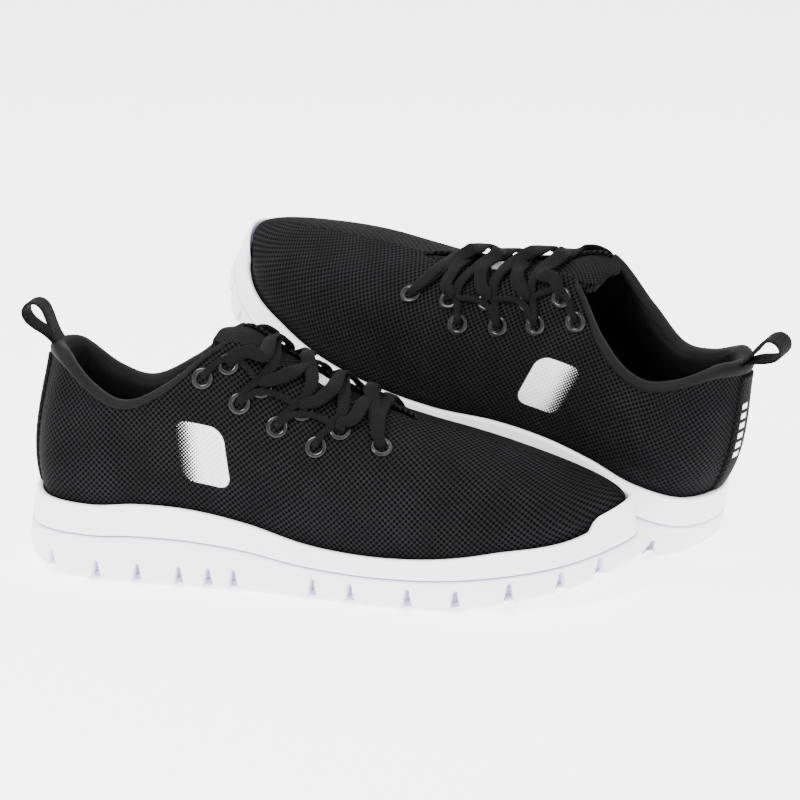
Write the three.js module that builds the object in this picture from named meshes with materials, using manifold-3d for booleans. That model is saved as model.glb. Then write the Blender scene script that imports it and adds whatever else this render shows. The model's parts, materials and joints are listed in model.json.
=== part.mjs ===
// A pair of low cheer shoes: knitted upper, padded collar, tongue, laced throat and flexible sole.
// Millimetres, +Z up. The right shoe stands flat with its toe towards +X; the left shoe stands
// behind it on its heel, turned round and leaning its toe up.
import * as THREE from 'three';
import { mergeVertices } from 'three/addons/utils/BufferGeometryUtils.js';
import Module from 'manifold-3d';

const wasm = await Module();
wasm.setup();

// ---- driving dimensions -------------------------------------------------------------------
const GAP = 0.35;                 // clearance between touching pieces
const UPPER_WALL = 2.0;
const LINING_WALL = 4.5;
const STIFFENER_WALL = 1.1;
const SKIRT_DEPTH = 4.6;          // upper tucked into the midsole cup
const CUP_DEPTH = 5.0;
const CREASE = 0.6;               // outsole height as a share of the bite line height
const TREAD_FLARE = 7;            // outsole wall outside the bite line
const BEVEL = { heelEnd: 35, heelRise: 9, toeStart: 205, toeLength: 80, toeRise: 12 };
const GROOVE = { bottom: 9, top: 3, height: 12, depth: 9 };
const GROOVES_X = [17, 40, 60, 80, 94, 106, 144, 162, 189, 211, 235, 257, 273];
const EYELET = { hole: 3.0, barrel: 3.5, flange: 5, thickness: 1.1, seat: 4.3, sides: 6 };
const LACE = { radius: 1.3, sides: 4, steps: 188 };
const STRAP = { width: 14, wall: 1.6 };
const LOOP = { height: 21, width: 11.5, lean: 37 };
const REST_X = 125;               // flat of the right outsole that carries the origin
const LEFT = { yaw: 162, pitch: 21, roll: -9, x: 315, y: 67 };

// Outline stations from heel to toe. bite: where the upper meets the sole; rim: the top edge.
// x, lateral half width, medial half width, z. bulge: rise and outward swell of the lower
// wall, drop and outward swell of the upper wall.
const STATIONS = [
  { bite: [6, 0, 0, 37], rim: [12, 0, 0, 103], bulge: [22, 6, 20, 3] },
  { bite: [15, 23, 22, 36], rim: [21, 17, 16, 101], bulge: [22, 6, 18, 3] },
  { bite: [37, 31, 29, 35], rim: [38, 25, 23, 87], bulge: [16, 5, 14, 2] },
  { bite: [60, 33, 31, 37], rim: [54, 28, 26, 82], bulge: [12, 4, 11, 2] },
  { bite: [85, 34, 30, 36], rim: [74, 29, 27, 92], bulge: [14, 4, 12, 4] },
  { bite: [112, 35, 30, 31], rim: [100, 20, 19, 112], bulge: [18, 4, 12, 12] },
  { bite: [142, 40, 33, 24], rim: [122, 13, 13, 102], bulge: [22, 4, 9, 18] },
  { bite: [175, 46, 38, 22], rim: [144, 11, 11, 91], bulge: [22, 5, 7, 22] },
  { bite: [208, 48, 41, 24], rim: [164, 9, 9, 82], bulge: [20, 5, 7, 26] },
  { bite: [240, 41, 40, 29], rim: [179, 6, 6, 77], bulge: [18, 5, 8, 30] },
  { bite: [264, 24, 30, 34], rim: [184, 3, 3, 75], bulge: [14, 5, 10, 36] },
  { bite: [281, -5, 5, 39], rim: [186, 0, 0, 75], bulge: [10, 3, 12, 44] },
];
// Eyelets as [station, share of the wall height]; the inner row edges the throat.
const INNER_EYELETS = [[7.9, 0.67], [7.18, 0.695], [6.5, 0.725], [5.7, 0.755], [5.05, 0.83]];
const OUTER_EYELETS = [[6.57, 0.55], [5.9, 0.585], [5.2, 0.63], [4.6, 0.825]];
const TOE_STATION = STATIONS.length - 1;
const AROUND = 2 * TOE_STATION;   // stations in the closed outline
const RING = 44;                  // samples round the shoe

const MATERIALS = {
  knit: { color: 0x17171a, roughness: 0.85 },
  lining: { color: 0x101012, roughness: 0.8 },
  foam: { color: 0xf3f3f8, roughness: 0.55 },
  rubber: { color: 0xeeeef5, roughness: 0.5 },
  board: { color: 0xd9d4c8, roughness: 0.9 },
  stiffener: { color: 0x55504a, roughness: 0.7 },
  insole: { color: 0x202024, roughness: 0.9 },
  webbing: { color: 0x141416, roughness: 0.8 },
  lace: { color: 0x121214, roughness: 0.8 },
  metal: { color: 0x2a2a2e, roughness: 0.25, metalness: 0.9 },
};

// ---- geometry helpers ---------------------------------------------------------------------
function bareGeometry(geometry) {
  const bare = geometry.clone();
  bare.deleteAttribute('normal');
  bare.deleteAttribute('uv');
  return mergeVertices(bare, 1e-4);
}

function facesOut(points, triangles) {
  let volume = 0;
  for (const [a, b, c] of triangles) {
    volume += points[a].dot(new THREE.Vector3().crossVectors(points[b], points[c]));
  }
  return volume > 0 ? triangles : triangles.map(([a, b, c]) => [a, c, b]);
}

function closedBody(points, triangles) {
  const geometry = new THREE.BufferGeometry().setFromPoints(points);
  geometry.setIndex(facesOut(points, triangles).flat());
  return geometry;
}

function quad(a, b, c, d) {
  return [[a, b, c], [a, c, d]];
}

// Closed outlines stacked one on the next; the first and last are capped rung by rung.
function stackedOutlines(outlines) {
  const count = outlines[0].length;
  const triangles = [];
  for (let level = 0; level + 1 < outlines.length; level += 1) {
    for (let i = 0; i < count; i += 1) {
      const next = (i + 1) % count;
      const low = level * count;
      triangles.push(...quad(low + i, low + next, low + count + next, low + count + i));
    }
  }
  const rungs = (start, flip) => {
    for (let i = 0; i < count / 2; i += 1) {
      const corners = [i, i + 1, count - i - 1, (count - i) % count];
      const ring = [...new Set(corners)].map((corner) => start + corner);
      for (let k = 1; k + 1 < ring.length; k += 1) {
        const face = [ring[0], ring[k], ring[k + 1]];
        triangles.push(flip ? face.reverse() : face);
      }
    }
  };
  rungs(0, true);
  rungs((outlines.length - 1) * count, false);
  return closedBody(outlines.flat(), triangles);
}

// A sheet with thickness: outer and inner grids, joined at their edges, closed round if wrapped.
function sheetSolid(outer, inner, wrapped) {
  const rows = outer.length;
  const columns = outer[0].length;
  const offset = rows * columns;
  const at = (layer, row, column) => layer * offset + (row % rows) * columns + column;
  const triangles = [];
  const spans = wrapped ? rows : rows - 1;
  for (let row = 0; row < spans; row += 1) {
    for (let column = 0; column + 1 < columns; column += 1) {
      triangles.push(...quad(at(0, row, column), at(0, row + 1, column),
        at(0, row + 1, column + 1), at(0, row, column + 1)));
      triangles.push(...quad(at(1, row, column), at(1, row, column + 1),
        at(1, row + 1, column + 1), at(1, row + 1, column)));
    }
    triangles.push(...quad(at(1, row, 0), at(1, row + 1, 0), at(0, row + 1, 0), at(0, row, 0)));
    const edge = columns - 1;
    triangles.push(...quad(at(0, row, edge), at(0, row + 1, edge),
      at(1, row + 1, edge), at(1, row, edge)));
  }
  if (!wrapped) {
    for (let column = 0; column + 1 < columns; column += 1) {
      triangles.push(...quad(at(0, 0, column), at(0, 0, column + 1),
        at(1, 0, column + 1), at(1, 0, column)));
      const last = rows - 1;
      triangles.push(...quad(at(1, last, column), at(1, last, column + 1),
        at(0, last, column + 1), at(0, last, column)));
    }
  }
  return closedBody([...outer.flat(), ...inner.flat()], triangles);
}

function toManifold(geometry) {
  const bare = bareGeometry(geometry);
  return new wasm.Manifold(new wasm.Mesh({
    numProp: 3,
    vertProperties: bare.attributes.position.array,
    triVerts: new Uint32Array(bare.index.array),
  }));
}

function fromManifold(manifold) {
  const mesh = manifold.getMesh();
  const geometry = new THREE.BufferGeometry();
  geometry.setAttribute('position', new THREE.BufferAttribute(mesh.vertProperties, 3));
  geometry.setIndex(Array.from(mesh.triVerts));
  return geometry;
}

function cutAll(body, cutters) {
  return fromManifold(cutters.reduce((rest, cutter) => rest.subtract(toManifold(cutter)),
    toManifold(body)));
}

function range(count) {
  return Array.from({ length: count }, (_, i) => i);
}

// ---- shoe outline -------------------------------------------------------------------------
// side is -1 for the right shoe and +1 for the left one: the sign of y on the lateral side.
function outlineRails(side) {
  const order = [...range(TOE_STATION + 1).map((i) => [i, 1]),
    ...range(TOE_STATION - 1).map((i) => [TOE_STATION - 1 - i, 2])];
  const point = (row, half) => new THREE.Vector3(row[0], half === 1 ? side * row[1] : -side * row[2],
    row[3]);
  const bite = order.map(([i, half]) => point(STATIONS[i].bite, half));
  const rim = order.map(([i, half]) => point(STATIONS[i].rim, half));
  const normals = bite.map((_, i) => {
    const along = bite[(i + 1) % AROUND].clone().sub(bite[(i + AROUND - 1) % AROUND]);
    return new THREE.Vector3(-side * along.y, side * along.x, 0).normalize();
  });
  const low = order.map(([i], k) => {
    const [rise, swell] = STATIONS[i].bulge;
    return bite[k].clone().addScaledVector(normals[k], swell).add(new THREE.Vector3(0, 0, rise));
  });
  const high = order.map(([i], k) => {
    const [, , drop, swell] = STATIONS[i].bulge;
    return rim[k].clone().addScaledVector(normals[k], swell).sub(new THREE.Vector3(0, 0, drop));
  });
  return [bite, low, high, rim].map((points) => new THREE.CatmullRomCurve3(points, true,
    'catmullrom'));
}

function shoeForm(side) {
  const rails = outlineRails(side);
  const turn = (station) => ((station / AROUND) % 1 + 1) % 1;
  const raw = (station, share) => {
    const [a, b, c, d] = rails.map((rail) => rail.getPoint(turn(station)));
    return new THREE.CubicBezierCurve3(a, b, c, d).getPoint(share);
  };
  const normal = (station, share) => {
    const step = 0.02;
    const along = raw(station + step, share).sub(raw(station - step, share));
    const low = Math.max(0, share - step);
    const up = raw(station, Math.min(1, share + step)).sub(raw(station, low));
    return along.cross(up).multiplyScalar(-side).normalize();
  };
  const wall = (station, share, offset = 0) => raw(station, share)
    .addScaledVector(normal(station, share), offset);
  const bite = (station) => rails[0].getPoint(turn(station));
  const planNormal = (station) => {
    const along = bite(station + 0.02).sub(bite(station - 0.02));
    return new THREE.Vector3(-side * along.y, side * along.x, 0).normalize();
  };
  const outline = (offset, height) => range(RING).map((i) => {
    const station = (i / RING) * AROUND;
    const base = bite(station);
    const moved = base.clone().addScaledVector(planNormal(station), offset);
    return moved.setZ(height(base));
  });
  return { side, wall, normal, bite, planNormal, outline };
}

function treadZ(x) {
  const heel = Math.max(0, (BEVEL.heelEnd - x) / BEVEL.heelEnd) ** 2 * BEVEL.heelRise;
  const toe = Math.max(0, (x - BEVEL.toeStart) / BEVEL.toeLength) ** 1.15 * BEVEL.toeRise;
  return heel + toe;
}

// ---- sole ---------------------------------------------------------------------------------
function grooveCutter(form, x, half) {
  const shape = new THREE.Shape();
  const foot = treadZ(x) - 2;
  shape.moveTo(-GROOVE.bottom / 2 - 0.5, foot);
  shape.lineTo(GROOVE.bottom / 2 + 0.5, foot);
  shape.lineTo(GROOVE.top / 2, treadZ(x) + GROOVE.height);
  shape.lineTo(-GROOVE.top / 2, treadZ(x) + GROOVE.height);
  shape.closePath();
  const reach = 30;
  const cutter = new THREE.ExtrudeGeometry(shape, { depth: reach, bevelEnabled: false });
  cutter.rotateX(Math.PI / 2);
  const wallY = sideWidthAt(form, x, half);
  const sign = Math.sign(wallY);
  const inner = wallY + sign * (TREAD_FLARE - GROOVE.depth);
  cutter.translate(x, sign > 0 ? inner + reach : inner, 0);
  return cutter;
}

function sideWidthAt(form, x, half) {
  const stations = range(200).map((i) => (half * i * TOE_STATION) / 200);
  const nearest = stations.reduce((best, station) => (
    Math.abs(form.bite(station).x - x) < Math.abs(form.bite(best).x - x) ? station : best));
  return form.bite(nearest).y;
}

function outsole(form) {
  const floor = (inset) => form.outline(TREAD_FLARE - inset, (p) => p.z);
  const levels = [[2.5, 0], [0, 2.5]].map(([inset, rise]) => floor(inset)
    .map((p) => p.clone().setZ(treadZ(p.x) + rise)));
  const top = form.outline(TREAD_FLARE - 1, (p) => p.z * CREASE);
  const block = stackedOutlines([...levels, top]);
  const cutters = GROOVES_X.flatMap((x) => [1, -1].map((half) => grooveCutter(form, x, half)));
  return cutAll(block, cutters);
}

function midsole(form) {
  const rim = (p) => p.z - 0.3;
  return stackedOutlines([
    form.outline(TREAD_FLARE - 1.6, (p) => p.z * CREASE + GAP),
    form.outline(TREAD_FLARE - 1.4, (p) => p.z * 0.8),
    form.outline(3.2, rim),
    form.outline(0.6, rim),
    form.outline(0.6, (p) => p.z - CUP_DEPTH),
  ]);
}

function board(form, offset, low, thickness) {
  return stackedOutlines([
    form.outline(offset, (p) => p.z + low),
    form.outline(offset, (p) => p.z + low + thickness),
  ]);
}

// ---- upper --------------------------------------------------------------------------------
function wallGrid(form, stations, shares, offset) {
  return stations.map((station) => shares.map((share) => form.wall(station, share, offset)));
}

function steps(from, to, count) {
  return range(count + 1).map((i) => from + ((to - from) * i) / count);
}

function eyelets(form) {
  const rows = [...INNER_EYELETS.map((seat, i) => ({ seat, name: `inner_${i + 1}` })),
    ...OUTER_EYELETS.map((seat, i) => ({ seat, name: `outer_${i + 1}` }))];
  return [1, -1].flatMap((half) => rows.map(({ seat: [station, share], name }) => ({
    name: `${half > 0 ? 'lateral' : 'medial'}_eyelet_${name}`,
    centre: form.wall(half * station, share),
    out: form.normal(half * station, share),
  })));
}

function standOn(geometry, { centre, out }) {
  const turn = new THREE.Quaternion().setFromUnitVectors(new THREE.Vector3(0, 1, 0), out);
  return geometry.applyQuaternion(turn).translate(centre.x, centre.y, centre.z);
}

function upper(form) {
  const stations = range(RING).map((i) => (i / RING) * AROUND);
  const shares = steps(0, 1, 6);
  const skirt = (station, offset) => form.bite(station)
    .addScaledVector(form.planNormal(station), offset)
    .sub(new THREE.Vector3(0, 0, SKIRT_DEPTH));
  const layer = (offset) => stations.map((station) => [skirt(station, offset),
    ...shares.map((share) => form.wall(station, share, offset))]);
  const shell = sheetSolid(layer(0), layer(-UPPER_WALL), true);
  const holes = eyelets(form).map((seat) => standOn(
    new THREE.CylinderGeometry(EYELET.seat, EYELET.seat, 8, EYELET.sides), seat));
  return cutAll(shell, holes);
}

function eyeletRing(seat) {
  const lift = GAP;
  const profile = [
    [EYELET.hole, -UPPER_WALL - 0.5], [EYELET.barrel, -UPPER_WALL - 0.5], [EYELET.barrel, lift],
    [EYELET.flange, lift], [EYELET.hole, lift + EYELET.thickness],
    [EYELET.hole, -UPPER_WALL - 0.5],
  ].map(([r, h]) => new THREE.Vector2(r, h));
  return standOn(new THREE.LatheGeometry(profile, EYELET.sides), seat);
}

const COLLAR = { front: 4, low: 0.5, proud: 1.5 };

function collarLining(form) {
  const stations = steps(-COLLAR.front, COLLAR.front, COLLAR.front * 4);
  const shares = steps(COLLAR.low, 1, 3);
  const layer = (offset) => wallGrid(form, stations, shares, offset).map((column) => [
    ...column, column.at(-1).clone().add(new THREE.Vector3(0, 0, COLLAR.proud))]);
  return sheetSolid(layer(-UPPER_WALL - GAP), layer(-UPPER_WALL - GAP - LINING_WALL), false);
}

function stiffener(form, centre, reach, shares) {
  const stations = steps(centre - reach, centre + reach, reach * 4);
  const skin = -UPPER_WALL - GAP;
  return sheetSolid(wallGrid(form, stations, shares, skin),
    wallGrid(form, stations, shares, skin - STIFFENER_WALL), false);
}

// ---- tongue, lace, strap and pull loop -----------------------------------------------------
const TONGUE = { wall: 3.2, tuck: 0.93, below: 2.6, crown: 1.6, tipBack: 12, tipUp: 3 };

function tongue(form) {
  const across = (station) => {
    const edge = (half) => [form.wall(half * station, TONGUE.tuck, -TONGUE.below - 0.6),
      form.wall(half * station, 1, -TONGUE.below)];
    const [lateralTuck, lateralRim] = edge(1);
    const [medialTuck, medialRim] = edge(-1);
    const middle = lateralRim.clone().add(medialRim).multiplyScalar(0.5);
    middle.z += TONGUE.crown;
    return [lateralTuck, lateralRim, middle, medialRim, medialTuck];
  };
  const rows = [5.15, ...steps(5.5, 10.5, 10)].map(across);
  const tip = rows[0].map((p) => {
    const y = p.y * 0.72;
    return new THREE.Vector3(p.x - TONGUE.tipBack, y, p.z + TONGUE.tipUp);
  });
  const top = [tip, ...rows];
  const bottom = top.map((row) => row.map((p) => new THREE.Vector3(p.x - TONGUE.wall * 0.35, p.y,
    p.z - TONGUE.wall)));
  return sheetSolid(top, bottom, false);
}

// One lace from the toe bar outwards: each half goes under the upper to an outer eyelet, crosses
// the throat to the next inner eyelet on the other side, and ends tucked inside.
function laceHalf(form, half) {
  const ride = EYELET.thickness + GAP + LACE.radius + 0.35;
  const under = -UPPER_WALL - 0.5 - GAP - LACE.radius;
  const high = half > 0 ? 8.2 : 4.4;
  const points = [];
  let side = half;
  const at = ([station, share], offset) => form.wall(side * station, share, offset);
  for (let row = 1; row <= OUTER_EYELETS.length; row += 1) {
    const outer = OUTER_EYELETS[row - 1];
    const inner = INNER_EYELETS[row];
    const from = INNER_EYELETS[row - 1];
    const between = [(from[0] + outer[0]) / 2, (from[1] + outer[1]) / 2];
    points.push(at(from, 1.5), at(from, under + 1), at(between, under - 0.6), at(outer, under + 1));
    points.push(at(outer, 1.5), at(outer, ride + 0.5));
    const pass = (outer[0] + inner[0]) / 2 - 0.02;
    points.push(at([pass, 0.8], ride + 0.4), at([pass - 0.05, 0.98], ride + 1));
    const rimHere = form.wall(side * pass, 1);
    side = -side;
    const rimThere = form.wall(side * inner[0], 1);
    const middle = rimHere.add(rimThere).multiplyScalar(0.5);
    points.push(middle.setZ(middle.z + high));
    points.push(at([inner[0], 0.97], ride + 1), at(inner, ride + 0.9));
  }
  const last = INNER_EYELETS[OUTER_EYELETS.length];
  points.push(at(last, 0), at(last, under - 0.5));
  return points;
}

function lace(form) {
  const first = INNER_EYELETS[0];
  const ride = EYELET.thickness + GAP + LACE.radius + 0.6;
  const bar = [form.wall(-first[0], first[1], ride), form.wall(-first[0], 0.92, ride),
    form.wall(first[0], 0.92, ride), form.wall(first[0], first[1], ride)];
  const route = [...laceHalf(form, -1).reverse(), ...bar, ...laceHalf(form, 1)];
  const path = new THREE.CatmullRomCurve3(route, false, 'centripetal');
  const corner = (2 * Math.PI) / LACE.sides;
  const section = new THREE.Shape(range(LACE.sides).map((i) => new THREE.Vector2(
    LACE.radius * Math.cos(i * corner), LACE.radius * Math.sin(i * corner))));
  const tube = new THREE.ExtrudeGeometry(section, { steps: LACE.steps, extrudePath: path });
  return bareGeometry(tube);
}

function heelStrap(form) {
  const stations = steps(-0.33, 0.33, 4);
  const shares = steps(0.05, 0.94, 6);
  return sheetSolid(wallGrid(form, stations, shares, GAP + STRAP.wall),
    wallGrid(form, stations, shares, GAP), false);
}

function loopHinge(form) {
  const top = form.wall(0, 1, -1);
  return top.setZ(top.z + COLLAR.proud + GAP + STRAP.wall);
}

function pullLoop(form) {
  const outline = (inset) => {
    const points = [];
    const waist = STRAP.wall - inset;
    const half = LOOP.width / 2 - inset;
    for (const i of range(7)) {
      const a = Math.PI + (i * Math.PI) / 6;
      points.push(new THREE.Vector2(waist * Math.cos(a), waist * Math.sin(a)));
    }
    for (const i of range(9)) {
      const a = (i * Math.PI) / 8;
      points.push(new THREE.Vector2(half * Math.cos(a),
        LOOP.height - LOOP.width / 2 + half * Math.sin(a)));
    }
    return points;
  };
  const shape = new THREE.Shape(outline(0));
  const eye = outline(STRAP.wall).slice(7);
  shape.holes.push(new THREE.Path([new THREE.Vector2(0, STRAP.wall * 1.6), ...eye]));
  const loop = new THREE.ExtrudeGeometry(shape, { depth: STRAP.width, bevelEnabled: false });
  loop.translate(0, 0, -STRAP.width / 2).rotateX(Math.PI / 2);
  loop.rotateY(-THREE.MathUtils.degToRad(LOOP.lean));
  const hinge = loopHinge(form);
  return loop.translate(hinge.x, hinge.y, hinge.z);
}

// ---- assembly -----------------------------------------------------------------------------
function shoe(side) {
  const form = shoeForm(side);
  const prefix = side < 0 ? 'right' : 'left';
  const group = new THREE.Group();
  const add = (name, geometry, finish) => {
    const mesh = new THREE.Mesh(geometry, new THREE.MeshStandardMaterial(MATERIALS[finish]));
    mesh.name = `${prefix}_${name}`;
    group.add(mesh);
  };
  add('outsole', outsole(form), 'rubber');
  add('midsole', midsole(form), 'foam');
  add('strobel_board', board(form, -UPPER_WALL - 0.5, -SKIRT_DEPTH, 1.3), 'board');
  add('sockliner', board(form, -UPPER_WALL - 2.4, -SKIRT_DEPTH + 1.7, 3), 'insole');
  add('upper', upper(form), 'knit');
  add('collar_lining', collarLining(form), 'lining');
  add('heel_counter', stiffener(form, 0, 2.5, [1 / 6, 1 / 3, COLLAR.low - 0.03]), 'stiffener');
  add('toe_puff', stiffener(form, TOE_STATION, 1.5, [1 / 6, 1 / 3, 1 / 2]), 'stiffener');
  add('tongue', tongue(form), 'lining');
  add('lace', lace(form), 'lace');
  add('heel_strap', heelStrap(form), 'webbing');
  add('pull_loop', pullLoop(form), 'webbing');
  for (const seat of eyelets(form)) {
    add(seat.name, eyeletRing(seat), 'metal');
  }
  return group;
}

// Lowest point of the sole once the shoe is turned, so that it can stand on the floor.
function lowestPoint(group) {
  group.updateMatrixWorld(true);
  return new THREE.Box3().setFromObject(group.getObjectByName('left_outsole'), true).min.z;
}

const rightShoe = shoe(-1);
const leftShoe = shoe(1);
leftShoe.rotation.copy(new THREE.Euler(THREE.MathUtils.degToRad(LEFT.roll),
  -THREE.MathUtils.degToRad(LEFT.pitch), THREE.MathUtils.degToRad(LEFT.yaw), 'ZYX'));
leftShoe.position.set(LEFT.x, LEFT.y, 0);
leftShoe.position.z = -lowestPoint(leftShoe);

const pair = new THREE.Group();
pair.add(rightShoe, leftShoe);
pair.position.x = -REST_X;

export default pair;
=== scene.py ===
"""Cheer shoes, a pair: the visible surfaces, materials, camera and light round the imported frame.

Shoe space is the right shoe's own: millimetres, toe +X, up +Z, heel near x = 0. The left shoe is the
same form mirrored and turned. Every piece is worked out in shoe space and placed in metres.
"""
import json
import math

import bmesh
import bpy
import numpy as np
from mathutils import Euler, Matrix, Vector


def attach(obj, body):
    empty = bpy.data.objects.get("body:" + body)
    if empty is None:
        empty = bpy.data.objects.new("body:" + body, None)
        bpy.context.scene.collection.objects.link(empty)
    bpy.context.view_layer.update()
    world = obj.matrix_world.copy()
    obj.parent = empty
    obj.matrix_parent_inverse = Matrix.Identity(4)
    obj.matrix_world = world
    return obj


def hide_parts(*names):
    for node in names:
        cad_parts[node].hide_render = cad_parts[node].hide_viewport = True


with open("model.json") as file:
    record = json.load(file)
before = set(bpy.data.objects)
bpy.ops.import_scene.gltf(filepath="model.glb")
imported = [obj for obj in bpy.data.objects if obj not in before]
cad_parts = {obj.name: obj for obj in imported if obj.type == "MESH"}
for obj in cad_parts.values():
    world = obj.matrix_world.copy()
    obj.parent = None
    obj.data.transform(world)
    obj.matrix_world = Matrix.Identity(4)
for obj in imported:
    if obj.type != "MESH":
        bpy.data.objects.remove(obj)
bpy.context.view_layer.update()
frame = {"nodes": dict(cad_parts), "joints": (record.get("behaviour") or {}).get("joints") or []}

MM = 0.001
REST_X = 125                      # flat of the right tread that carries the origin
LEFT_TURN = (-9, -21, 162)        # roll, toe lift and yaw of the left shoe, degrees
HINGE = (194, 0, 68)              # tongue hinge in shoe space
UPPER_WALL = 2.0
TREAD_FLARE = 7
TREAD_ROUND = 2.8                 # radius of the tread's lower corner
GROOVE_CUT = 4.5
GROOVE_HEIGHT = 10.5
SKIRT_DEPTH = 4.4                 # how far the upper reaches down behind the midsole's edge
CREASE = 0.6
BEVEL = {"heel_end": 35, "heel_rise": 9, "toe_start": 205, "toe_length": 80, "toe_rise": 12}
GROOVES_X = (17, 40, 60, 80, 94, 106, 144, 162, 189, 211, 235, 257, 273)

# Outline stations from heel to toe, as in the CAD: bite line and rim (x, lateral, medial, z), then
# rise and swell of the lower wall, drop and swell of the upper wall.
STATIONS = [
    ((6, 0, 0, 37), (12, 0, 0, 103), (22, 6, 20, 3)),
    ((15, 23, 22, 36), (21, 17, 16, 101), (22, 6, 18, 3)),
    ((37, 31, 29, 35), (38, 25, 23, 87), (16, 5, 14, 2)),
    ((60, 33, 31, 37), (54, 28, 26, 82), (12, 4, 11, 2)),
    ((85, 34, 30, 36), (74, 29, 27, 92), (14, 4, 12, 4)),
    ((112, 35, 30, 31), (100, 20, 19, 112), (18, 4, 12, 12)),
    ((142, 40, 33, 24), (122, 13, 13, 102), (22, 4, 9, 18)),
    ((175, 46, 38, 22), (144, 11, 11, 91), (22, 5, 7, 22)),
    ((208, 48, 41, 24), (164, 9, 9, 82), (20, 5, 7, 26)),
    ((240, 41, 40, 29), (179, 6, 6, 77), (18, 5, 8, 30)),
    ((264, 24, 30, 34), (184, 3, 3, 75), (14, 5, 10, 36)),
    ((281, -5, 5, 39), (186, 0, 0, 75), (10, 3, 12, 44)),
]
INNER_EYELETS = ((7.9, 0.67), (7.18, 0.695), (6.5, 0.725), (5.7, 0.755), (5.05, 0.83))
OUTER_EYELETS = ((6.57, 0.55), (5.9, 0.585), (5.2, 0.63), (4.6, 0.825))
TOE = len(STATIONS) - 1
AROUND = 2 * TOE
SIDES = {"right": -1, "left": 1}


# ---- camera ------------------------------------------------------------------------------------
def make_camera(azimuth=10.0, elevation=15.0, distance=1.2713, target=(0.0445, 0.040, 0.0722)):
    a, e = math.radians(azimuth), math.radians(elevation)
    back = Vector((math.sin(a) * math.cos(e), -math.cos(a) * math.cos(e), math.sin(e)))
    data = bpy.data.cameras.new("camera")
    data.lens = 120
    data.sensor_width = 36
    camera = bpy.data.objects.new("camera", data)
    camera.location = Vector(target) + back * distance
    camera.rotation_euler = back.to_track_quat("Z", "Y").to_euler()
    bpy.context.collection.objects.link(camera)
    bpy.context.scene.camera = camera


# ---- the shoe's form ---------------------------------------------------------------------------
class Form:
    """One shoe's surfaces. side is -1 for the right shoe and +1 for the left: lateral y's sign."""

    def __init__(self, name):
        self.name = name
        self.side = SIDES[name]
        order = [(i, 0) for i in range(TOE + 1)] + [(i, 1) for i in range(TOE - 1, 0, -1)]

        def point(row, half):
            return (row[0], self.side * row[1] if half == 0 else -self.side * row[2], row[3])

        bite = np.array([point(STATIONS[i][0], h) for i, h in order], float)
        rim = np.array([point(STATIONS[i][1], h) for i, h in order], float)
        bulge = np.array([STATIONS[i][2] for i, _ in order], float)
        along = np.roll(bite, -1, 0) - np.roll(bite, 1, 0)
        out = np.stack([-self.side * along[:, 1], self.side * along[:, 0], 0 * along[:, 0]], 1)
        out /= np.linalg.norm(out, axis=1)[:, None]
        up = np.array([0, 0, 1.0])
        low = bite + up * bulge[:, :1] + out * bulge[:, 1:2]
        high = rim - up * bulge[:, 2:3] + out * bulge[:, 3:4]
        self.rails = (bite, low, high, rim)

    @staticmethod
    def rail(points, station):
        t = np.asarray(station, float) % AROUND
        i = np.floor(t).astype(int)
        f = (t - i)[..., None]
        p0, p1, p2, p3 = (points[(i + k) % AROUND] for k in (-1, 0, 1, 2))
        return 0.5 * (2 * p1 + (p2 - p0) * f + (2 * p0 - 5 * p1 + 4 * p2 - p3) * f ** 2
                      + (3 * p1 - p0 - 3 * p2 + p3) * f ** 3)

    def raw(self, station, share):
        station, share = np.broadcast_arrays(np.asarray(station, float), np.asarray(share, float))
        v = share[..., None]
        a, b, c, d = (self.rail(r, station) for r in self.rails)
        return a * (1 - v) ** 3 + 3 * b * v * (1 - v) ** 2 + 3 * c * v * v * (1 - v) + d * v ** 3

    def normal(self, station, share):
        step = 0.02
        station, share = np.broadcast_arrays(np.asarray(station, float), np.asarray(share, float))
        along = self.raw(station + step, share) - self.raw(station - step, share)
        rise = (self.raw(station, np.minimum(1, share + step))
                - self.raw(station, np.maximum(0, share - step)))
        n = -self.side * np.cross(along, rise)
        return n / np.maximum(np.linalg.norm(n, axis=-1, keepdims=True), 1e-9)

    def wall(self, station, share, offset=0.0):
        offset = np.asarray(offset, float)[..., None]
        return self.raw(station, share) + self.normal(station, share) * offset

    def bite(self, station):
        return self.rail(self.rails[0], station)

    def plan_normal(self, station):
        along = self.bite(np.asarray(station) + 0.02) - self.bite(np.asarray(station) - 0.02)
        n = np.stack([-self.side * along[..., 1], self.side * along[..., 0], 0 * along[..., 0]], -1)
        return n / np.linalg.norm(n, axis=-1, keepdims=True)

    def place(self, points):
        """Shoe space in millimetres to the row frame in metres."""
        points = np.asarray(points, float).reshape(-1, 3)
        matrix = np.array(self.matrix())
        return points @ matrix[:3, :3].T * MM + matrix[:3, 3]

    def matrix(self):
        if self.name == "right":
            return Matrix.Translation((-REST_X * MM, 0, 0))
        turn = Euler([math.radians(v) for v in LEFT_TURN], "XYZ").to_matrix()
        hinge = next(j for j in frame["joints"] if j["name"] == "left_tongue_hinge")
        origin = Vector(hinge["pos_m"]) - turn @ (Vector(HINGE) * MM)
        return Matrix.Translation(origin) @ turn.to_4x4()


def tread_z(x):
    heel = (np.maximum(0, BEVEL["heel_end"] - x) / BEVEL["heel_end"]) ** 2 * BEVEL["heel_rise"]
    toe = (np.maximum(0, x - BEVEL["toe_start"]) / BEVEL["toe_length"]) ** 1.15
    return heel + toe * BEVEL["toe_rise"]


def smooth_step(low, high, value):
    t = np.clip((value - low) / (high - low), 0, 1)
    return t * t * (3 - 2 * t)


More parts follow.
